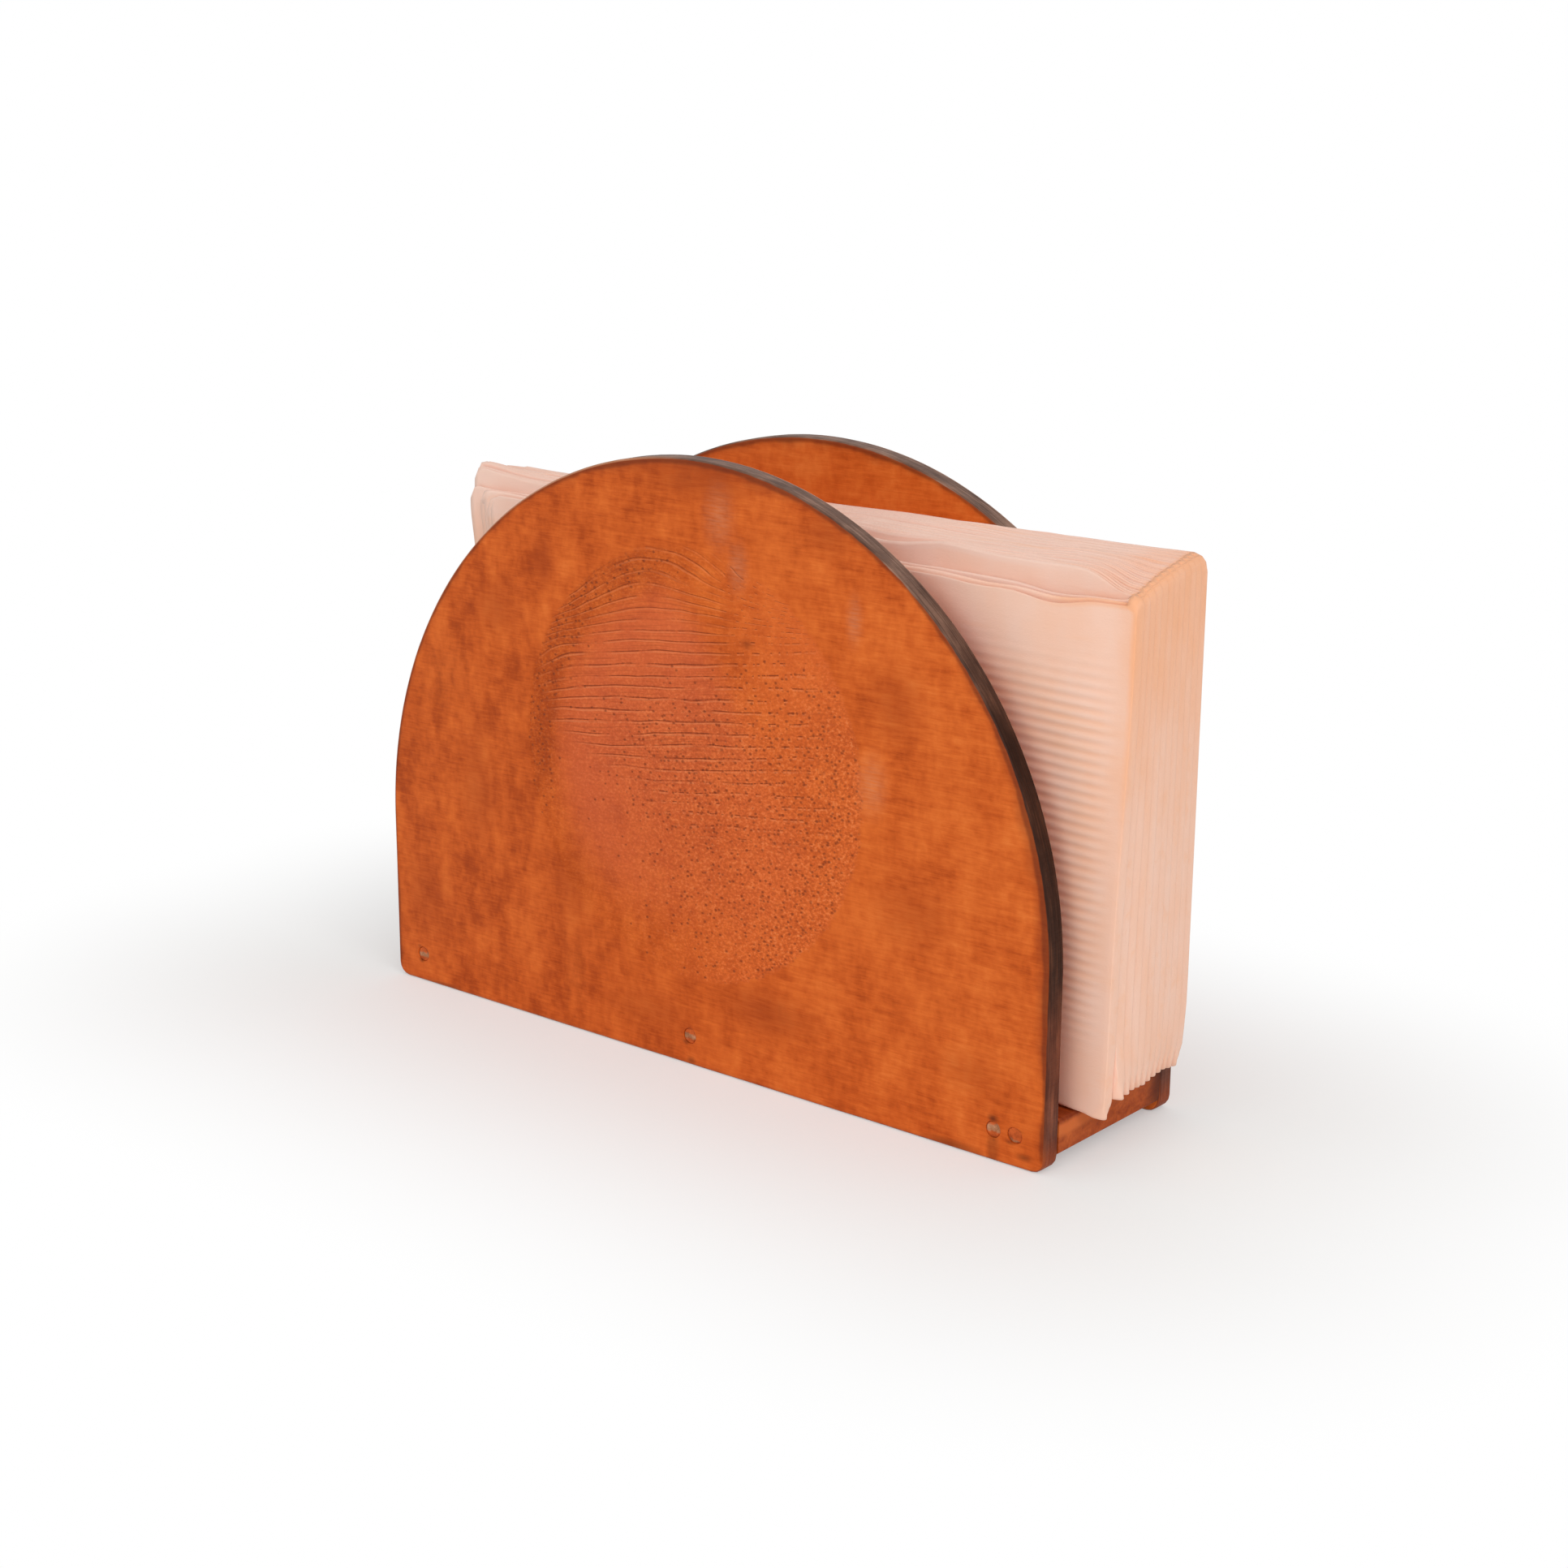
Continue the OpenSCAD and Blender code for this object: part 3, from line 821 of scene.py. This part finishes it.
def build_nails(name, node, y_outer, outward, nails, material):
    """Hammered flat-head nails: a dented head with a rolled rim, a shank and a point."""
    bm = bmesh.new()
    head_r = NAIL_HEAD_D / 2
    shank_r = NAIL_D / 2
    tip_l = 2 * NAIL_D
    profile = [(head_r * share, depth) for share, depth in HEAD_FACE]
    profile += [
        (head_r, NAIL_HEAD_T - HEAD_BEVEL),
        (head_r * 0.92, NAIL_HEAD_T),
        (shank_r * 1.25, NAIL_HEAD_T),
        (shank_r, NAIL_HEAD_T + NECK_L),
        (shank_r, NAIL_HEAD_T + NAIL_L - tip_l),
        (shank_r / 6, NAIL_HEAD_T + NAIL_L),
        (0.0, NAIL_HEAD_T + NAIL_L),
    ]
    for x, lean in nails:
        tilt = math.radians(lean)
        along = Vector((0.0, -outward * math.cos(tilt), math.sin(tilt)))
        across = Vector((0.0, outward * math.sin(tilt), math.cos(tilt)))
        sideways = Vector((1.0, 0.0, 0.0))
        start = Vector((x, y_outer, NAIL_Z)) + along * NAIL_SINK
        rings = []
        for radius, depth in profile:
            ring = []
            for k in range(HOLE_STEPS if radius else 1):
                a = 2 * math.pi * k / HOLE_STEPS
                spoke = sideways * math.cos(a) + across * math.sin(a)
                place = Vector((x, radius * math.cos(a), radius * math.sin(a)))
                dent = HEAD_DENT * noise.noise(place * 1.3) if depth < NAIL_HEAD_T / 2 else 0.0
                ring.append(bm.verts.new(start + spoke * radius + along * (depth + dent)))
            rings.append(ring)
        bridge_all(bm, rings)
    finish_mesh(bm, name, "holder", [node], [material])


def depth_share(i):
    return i / (NAPKIN_N - 1)


def napkin_place(i):
    """Where a napkin's fold has its lower corner, and the napkin's turns about Z and Y."""
    pitch_right = (SLOT_D - ROOM_RIGHT) / NAPKIN_N
    pitch_left = (SLOT_D - ROOM_LEFT) / NAPKIN_N
    y_right = SLOT_FRONT_Y + ROOM_RIGHT + pitch_right * i + (pitch_right - NAPKIN_GAP) / 2
    y_left = SLOT_FRONT_Y + ROOM_LEFT + pitch_left * i + (pitch_left - NAPKIN_GAP) / 2
    yaw = -math.asin((y_left - y_right) / NAPKIN_W)
    lean = math.radians(LEAN_FRONT_DEG) * (1 - depth_share(i))
    overhang = OVERHANG_FRONT + (OVERHANG_BACK - OVERHANG_FRONT) * depth_share(i)
    foot = BASE_TOP + NAPKIN_GAP - overhang * math.sin(lean) + (STACK_RISE if i else 0.0)
    corner = Matrix.Translation((ARCH_R + overhang, y_right, foot))
    return corner @ Matrix.Rotation(yaw, 4, "Z") @ Matrix.Rotation(lean, 4, "Y")


def wave(seed, x, length):
    """A smooth random wave from about -1 to 1 along x."""
    return 1.6 * noise.noise(Vector((x / length, seed * 7.31, seed * 1.17)))


def napkin_rows(fine):
    """The sheet's way through its four strips: layer share, height and strip number of each row.

    The share is 0 at the outside of the folded napkin and 1 in its middle. The sheet starts at
    the outer strip's open top edge, turns round the whole bundle at the foot, folds over at the
    top, turns again inside the foot and ends at the open top edge of the second strip.
    """
    outer, second, third, inner = (2 * k / 7 for k in range(4))
    rows = []

    def strip(share, z_from, z_to, number, count):
        for k in range(count):
            t = k / (count - 1)
            way = t if count == RIB_ROWS else eased(t, 0.9)
            rows.append((share, z_from + (z_to - z_from) * way, number))

    def fold(share_from, share_to, z, bulge, numbers, count):
        for k in range(1, count):
            a = math.pi * k / count
            share = share_from + (share_to - share_from) * (1 - math.cos(a)) / 2
            rows.append((share, z + bulge * math.sin(a), numbers[0] if 2 * k < count else numbers[1]))

    strip(outer, NAPKIN_H, FOOT_FOLD, 0, RIB_ROWS if fine else STRIP_ROWS)
    fold(outer, inner, FOOT_FOLD, -FOOT_FOLD, (0, 3), 6)
    strip(inner, FOOT_FOLD, NAPKIN_H - TOP_FOLD, 3, STRIP_ROWS)
    fold(inner, third, NAPKIN_H - TOP_FOLD, TOP_FOLD, (3, 2), 4)
    strip(third, NAPKIN_H - TOP_FOLD, INNER_FOOT, 2, STRIP_ROWS)
    fold(third, second, INNER_FOOT, -TOP_FOLD, (2, 1), 4)
    strip(second, INNER_FOOT, NAPKIN_H - TOP_FOLD, 1, STRIP_ROWS)
    return rows


def eased(t, share):
    """The way t from 0 to 1, with its steps drawn together towards both ends by a share."""
    return t - math.sin(2 * math.pi * t) / (2 * math.pi) * share


def napkin_columns():
    """Across the sheet: leaf (-1 front, 1 back), way along the leaf from 0 at the fold to 1, turn."""
    columns = []
    for k in range(LEAF_COLUMNS):
        columns.append((-1, eased(1.0 - k / LEAF_COLUMNS, 0.6), -math.pi / 2))
    for k in range(NOSE_COLUMNS):
        columns.append((0, 0.0, -math.pi / 2 + math.pi * k / (NOSE_COLUMNS - 1)))
    for k in range(1, LEAF_COLUMNS + 1):
        columns.append((1, eased(k / LEAF_COLUMNS, 0.6), math.pi / 2))
    return columns


def signed_power(value, power):
    return math.copysign(abs(value) ** power, value)


def round_off(distance, radius):
    """How far a rounded corner falls back at a distance from the end."""
    if distance >= radius:
        return 0.0
    reach = radius - max(distance, 0.0)
    return radius - math.sqrt(radius * radius - reach * reach)


def front_droop(x):
    """How far the first napkin's front leaf sags at the top, measured along its width."""
    return FRONT_SAG + FRONT_SAG_MORE * math.exp(-(((x - FRONT_SAG_X) / FRONT_SAG_REACH) ** 2))


def along_stack(values, place):
    """The value at a place in the stack, counted in napkins, from one value for each of them."""
    low = min(max(math.floor(place), 0), len(values) - 2)
    t = min(1.0, max(0.0, place - low))
    return values[low] * (1 - t) + values[low + 1] * t


def top_rise(i, stack_place, pair, side, x):
    """How far an open edge or fold at a napkin's top stands above the napkin's own height."""
    group = 0 if i == 0 else 1 + (i + 1) // 4
    rise = TOP_STEP[pair]
    for seed, (height, length) in zip((group + 20.0, group * 5.0 + side, i * 2.0 + pair), TOP_WAVES):
        rise += height * wave(seed, x, length)
    rise *= smooth(*OFF_NOSE, x) * (1 - 0.6 * depth_share(i))
    rise -= along_stack(NOSE_DROOP, stack_place) * smooth(*AT_NOSE, x)
    rise -= LEFT_DIP * depth_share(i) * smooth(*LEFT_DIP_X, x)
    if i == 1:
        rise -= SECOND_DIP * smooth(*SECOND_DIP_X, x)
    return rise


def napkin_warmth_and_shade(i, share, z, leaf, stack_place, x):
    """Warmth of the paper's colour: painted shade in its folds, warmer at its nose and left end, and a
    painted paler top with warm clouds.
    """
    # Painted shade: the inner layers are warmer, most of all near the top, as if down in the folds.
    warm_and_shade = 0.28 * share * smooth(0.0, 9.0, NAPKIN_H - z) + 0.10 * share
    if leaf == 0:
        warm_and_shade += 0.38 + 0.38 * smooth(35.0, NAPKIN_H, z)
    warm_and_shade += 0.10 * smooth(*LEFT_WARM_X, x)
    # The top is painted paler, as if lit from above, but for its corner at the nose, and has warm clouds
    # through the stack.
    at_top = smooth(NAPKIN_H - 0.9, NAPKIN_H - 0.2, z)
    warm_from = -30.0 + 16.0 * depth_share(i) + 5.0 * wave(i / 5.0, share, 0.9)
    clouds = max(0.0, wave(stack_place / 8.0, x, 21.0))
    warm_and_shade += at_top * (0.45 * smooth(warm_from, -3.0, x) - 0.15 + 0.22 * clouds)
    # The second napkin is painted warm below its top edge, as shade under that edge.
    if i == 1 and leaf < 0:
        warm_and_shade += 0.28 * smooth(NAPKIN_H - 9.0, NAPKIN_H - 4.0, z) * (1 - at_top) * smooth(-100.0, -70.0, x)
    return warm_and_shade


def ribs(z, z_out, x):
    """The first napkin's crimp: how far it stands out, and the painted shade that warms the colour between
    ribs.
    """
    ribbed = smooth(6.0, 22.0, z) * smooth(NAPKIN_H - 5.0, NAPKIN_H - 18.0, z) * smooth(-1.5, -7.0, x)
    swell = 0.85 + 0.3 * wave(41.0, x, 15.0)
    rib_z = z_out + 0.12 * wave(43.0, x, 50.0)
    crest = 0.5 + 0.5 * math.sin(2 * math.pi * rib_z / RIB_PITCH)
    return RIB_HEIGHT * ribbed * swell * crest, 0.18 * ribbed * (1 - crest)


def loose_leaf(share, z, leaf, turn, x):
    """The first napkin's front leaf: its part in the looseness here, how far it stands out, and its warmth,
    painted shade on the front leaf.
    """
    front = 1.0 if leaf < 0 else max(0.0, -math.sin(turn))
    free = front * (1 - share)
    out = free * FRONT_SWELL * (1 + wave(31.0, x + 0.5 * z, 26.0)) * smooth(0.0, -12.0, x)
    out += front * (1 - 0.5 * share) * FRONT_LEAN * smooth(50.0, NAPKIN_H, z) * smooth(-2.0, -20.0, x)
    out += free * smooth(*LOOSE_END_X, x) * (0.5 + 0.4 * wave(37.0, z, 14.0))
    warm_and_shade = 0.16 * smooth(-5.0, -0.5, x) * smooth(10.0, 60.0, z) * front
    # Painted shade: the front leaf is warmer and darker, less so at its left end.
    if leaf < 0:
        warm_and_shade += 0.34 * (1 - 0.7 * smooth(-100.0, -125.0, x))
    return front, out, warm_and_shade


def napkin_point(i, share, z, strip_number, leaf, along, turn):
    """One point of folded napkin i in its own millimetres, with the warmth of its colour, which holds painted
    shade and light.
    """
    random_end = wave(i + 0.5, strip_number * 40.0 + leaf * 17.0, 11.0)
    short = 0.2 * random_end + 0.3 * (1 - share) - LEFT_LONGER
    short += END_SLANT * smooth(NAPKIN_H - 1.0, NAPKIN_H - 11.0, z)
    if leaf < 0:
        short += (FRONT_LEAF_SHORT if i == 0 else 0.5) * (1 - 0.6 * share)
    # The nose is blunt higher up and pressed to a point at its foot.
    at_foot = smooth(FOOT_POINT_H, 0.0, z)
    nose_depth = NOSE_DEPTH + (FOOT_POINT - NOSE_DEPTH) * at_foot
    power = NOSE_POWER + (FOOT_POINT_POWER - NOSE_POWER) * at_foot
    inner_nose = nose_depth * (1 - share)
    x_fold = -nose_depth + inner_nose * (abs(math.cos(turn)) ** power if leaf == 0 else 0.0)
    x = x_fold - (NAPKIN_W - nose_depth - short) * along

    # The thickness follows the stack's own pitch at this place, less a hair of air.
    to_left = min(1.0, -x / NAPKIN_W)
    pitch = (SLOT_D - ROOM_RIGHT + (ROOM_RIGHT - ROOM_LEFT) * to_left) / NAPKIN_N
    half = (pitch - STACK_AIR - PAPER_T) / 2
    across = (1 - share) * signed_power(math.sin(turn), power)
    y = half * across
    stack_place = max(i + 0.5 * across, 1.0) if i else 0.0

    # Soft dents go towards the napkin's inside, because a neighbour lies against it.
    side = -1 if turn < 0 else 1
    dent = 0.5 + 0.5 * wave(i * 3.1 + strip_number + side * 0.3, x + 0.6 * z, 17.0)
    y -= side * half * DENT_SHARE * dent * smooth(0.0, -6.0, x) * (1 - share)

    # The open edges and folds at the top wave up and down.
    upper = smooth(0.55 * NAPKIN_H, NAPKIN_H, z)
    pair = 2 if strip_number == 3 else strip_number
    rise = top_rise(i, stack_place, pair, side, x)
    rise -= round_off(x + NAPKIN_W - short, OPEN_CORNER_R + 0.5 * random_end)
    z_out = z + rise * upper

    # The nose's upper corner is rounded, and its lower corner is drawn in or out and sags.
    near_fold = smooth(*NEAR_FOLD, x)
    x -= near_fold * round_off(NAPKIN_H - z, NOSE_CORNER_R + NOSE_CORNER_MORE * smooth(8.0, 11.0, i))
    x += near_fold * along_stack(FOOT_SHIFT, stack_place) * max(0.0, 1.0 - z / FOOT_SHIFT_H) ** 1.6
    x -= near_fold * along_stack(NOSE_DRAWN_IN, stack_place) * smooth(75.0, 20.0, z)
    x += near_fold * NOSE_JITTER * (wave(i + 60.0, z, 60.0) + 0.3 * wave(i + 80.0, z, 20.0))
    past_board = smooth(-6.0, -1.0, x) if i == 0 else smooth(-25.0, -4.0, x)
    z_out -= FOOT_DROP[i] * smooth(FOOT_DROP_H, 0.0, z) * past_board

    warm_and_shade = napkin_warmth_and_shade(i, share, z, leaf, stack_place, x)
    if i == 0 and leaf > 0:
        z_out -= 0.7 * front_droop(x) * upper * smooth(0.0, -4.0, x)
    elif i == 0:
        front, out, more_warm_shade = loose_leaf(share, z, leaf, turn, x)
        z_out -= front_droop(x) * (1 - 0.3 * share) * upper * front
        y -= out
        warm_and_shade += more_warm_shade
        if strip_number == 0 and leaf < 0:
            out, more_warm_shade = ribs(z, z_out, x)
            y -= out
            warm_and_shade += more_warm_shade
    return (x, y, z_out), min(1.0, warm_and_shade)


def stack_sway(x):
    """Share by which the stack's depth grows or shrinks at a place along X."""
    return 0.022 * wave(3.0, x, 30.0) + 0.012 * wave(5.0, x, 11.0)


def build_napkin(i, material):
    """One napkin: a single sheet folded in eight, which replaces its plain solid."""
    name = f"napkin_{i + 1:02d}"
    place = napkin_place(i)
    columns = napkin_columns()
    rows = napkin_rows(fine=i == 0)
    mesh = bpy.data.meshes.new(name + "_sheet")
    points, warm_and_shade_values = [], []
    for share, z, strip_number in rows:
        for leaf, along, turn in columns:
            local, warm_and_shade = napkin_point(i, share, z, strip_number, leaf, along, turn)
            point = place @ Vector(local)
            point.y = BACK_INNER_Y - (BACK_INNER_Y - point.y) * (1 + stack_sway(point.x))
            points.append(point * MM)
            warm_and_shade_values.append(warm_and_shade)
    width = len(columns)
    faces = []
    for r in range(len(rows) - 1):
        for c in range(width - 1):
            a = r * width + c
            faces.append((a, a + 1, a + 1 + width, a + width))
    mesh.from_pydata(points, [], faces)
    mesh.polygons.foreach_set("use_smooth", [True] * len(mesh.polygons))
    mesh.attributes.new("warm_and_shade", "FLOAT", "POINT").data.foreach_set("value", warm_and_shade_values)
    mesh.materials.append(material)
    piece = add_object(name + "_sheet", mesh)
    paper = piece.modifiers.new("paper", "SOLIDIFY")
    paper.thickness = PAPER_T * MM
    paper.offset = 0.0
    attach(piece, name)
    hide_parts(name)


def add_camera():
    """Camera at the photograph's place and angle, with its field of view."""
    camera = add_object("camera", bpy.data.cameras.new("camera"))
    camera.location = Vector(CAMERA_PLACE_MM) * MM
    camera.rotation_euler = Euler([math.radians(a) for a in CAMERA_TURN_DEG], "XYZ")
    camera.data.sensor_width = SENSOR_MM
    camera.data.lens = FOCAL_PX / IMAGE_PX * SENSOR_MM
    camera.data.clip_start = 0.01
    bpy.context.scene.camera = camera


def add_lamp(name, place, aim, size, watts, colour):
    """A soft square lamp that looks at a point."""
    data = bpy.data.lights.new(name, "AREA")
    data.shape = "SQUARE"
    data.size = size
    data.energy = watts
    data.color = colour
    lamp = add_object(name, data)
    lamp.location = place
    lamp.rotation_euler = (Vector(aim) - Vector(place)).to_track_quat("-Z", "Y").to_euler()


def seen_white(tree):
    """1 where the camera, a reflection or a refraction looks, 0 where light is gathered."""
    path = tree.nodes.new("ShaderNodeLightPath")
    total = path.outputs["Is Camera Ray"]
    for name in ("Is Glossy Ray", "Is Transmission Ray"):
        node = tree.nodes.new("ShaderNodeMath")
        node.operation = "MAXIMUM"
        tree.links.new(total, node.inputs[0])
        tree.links.new(path.outputs[name], node.inputs[1])
        total = node.outputs[0]
    return total


def add_world():
    """Even daylight; whoever looks straight at it sees white."""
    world = bpy.data.worlds.new("studio")
    bpy.context.scene.world = world
    world.use_nodes = True
    tree = world.node_tree
    background = tree.nodes["Background"]
    background.inputs["Color"].default_value = (1.0, 1.0, 1.0, 1.0)
    strength = tree.nodes.new("ShaderNodeMapRange")
    tree.links.new(seen_white(tree), strength.inputs["Value"])
    strength.inputs["To Min"].default_value = WORLD_LEVEL
    strength.inputs["To Max"].default_value = 1.0
    tree.links.new(strength.outputs[0], background.inputs["Strength"])


def add_floor():
    """Plain pale floor: it holds the shadow near the object and goes over into white further out."""
    mesh = bpy.data.meshes.new("floor")
    corners = [(-1, -1), (1, -1), (1, 1), (-1, 1)]
    mesh.from_pydata([(x * FLOOR_REACH_M, y * FLOOR_REACH_M, 0.0) for x, y in corners], [], [range(4)])
    floor = add_object("floor", mesh)
    g = Graph("floor")
    g.finish(rgb(244, 243, 241), 0.9, 0.1)
    middle_y = (FRONT_FACE_Y + BACK_FACE_Y) / 2
    off_x = g.math("MAXIMUM", g.minus(g.math("ABSOLUTE", g.x), ARCH_R), 0.0)
    off_y = g.math("ABSOLUTE", g.minus(g.y, middle_y))
    off_y = g.math("MAXIMUM", g.minus(off_y, BACK_FACE_Y - middle_y), 0.0)
    far = g.band(g.vector("LENGTH", g.join(off_x, off_y, 0.0)), 2.0, FLOOR_SHADE_MM, FLOOR_WHITE_NEAR, 1.0)
    blend = g.add("MixShader", Fac=g.product(far, seen_white(g.tree)))
    for socket, node in zip(blend.inputs[1:], (g.shader, g.add("Emission"))):
        g.feed(socket, node.outputs[0])
    g.feed(g.output.inputs["Surface"], blend.outputs[0])
    mesh.materials.append(g.material)


add_camera()
add_world()
add_floor()
for lamp_values in LAMPS:
    add_lamp(*lamp_values)

edge_wood = edge_material()
build_panel("front_panel_board", "front_panel", FRONT_FACE_Y, -1, FRONT_NAILS,
            [panel_material("front_wood", 0.0, front=True), edge_wood])
build_panel("back_panel_board", "back_panel", BACK_FACE_Y, 1, BACK_NAILS,
            [panel_material("back_wood", 37.0, front=False), edge_wood])
steel = nail_material()
build_nails("front_nail_set", "front_nails", FRONT_FACE_Y, -1, FRONT_NAILS, steel)
build_nails("back_nail_set", "back_nails", BACK_FACE_Y, 1, BACK_NAILS, steel)

board_wood = base_material()
for material_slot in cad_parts["base_board"].material_slots:
    material_slot.material = board_wood

paper = paper_material()
for index in range(NAPKIN_N):
    build_napkin(index, paper)

bpy.context.scene.view_settings.view_transform = "Standard"
